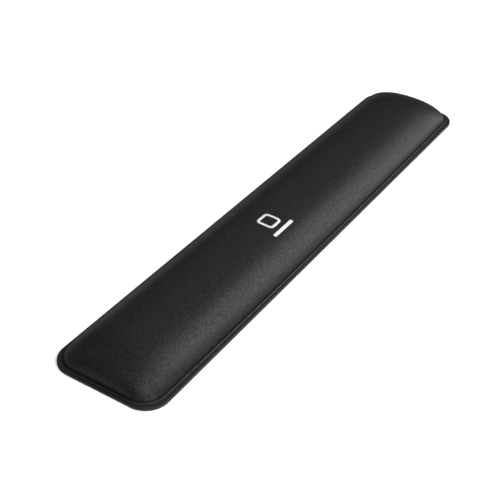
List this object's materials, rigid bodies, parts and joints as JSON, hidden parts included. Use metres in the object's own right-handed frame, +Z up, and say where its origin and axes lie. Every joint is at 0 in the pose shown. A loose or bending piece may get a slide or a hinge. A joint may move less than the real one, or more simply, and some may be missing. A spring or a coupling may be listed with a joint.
{
  "type": "wrist rest",
  "caption": "Long crowned palm rest for a keyboard: soft foam pad in a black fabric cover, pressed to a narrow flange on a thin non-slip rubber base.",
  "frame": {"origin": "middle of the footprint, on the desk", "axes": "+X along the rest to the user's right, +Y towards the keyboard, +Z up"},
  "size_m": [0.44, 0.08, 0.0203],
  "materials": {
    "base_rubber": "matte, fine textured underside",
    "adhesive": "satin",
    "memory_foam": "matte open-cell foam",
    "backing_film": "satin",
    "cover_fabric": "fine knit with a soft sheen",
    "white_ink": "matte screen print"
  },
  "bodies": {
    "root": {"non_slip_base": "base_rubber", "base_adhesive_film": "adhesive", "foam_core": "memory_foam", "cover_backing_film": "backing_film", "fabric_cover": "cover_fabric", "mark_ring": "white_ink", "mark_bar": "white_ink"}
  },
  "joints": []
}
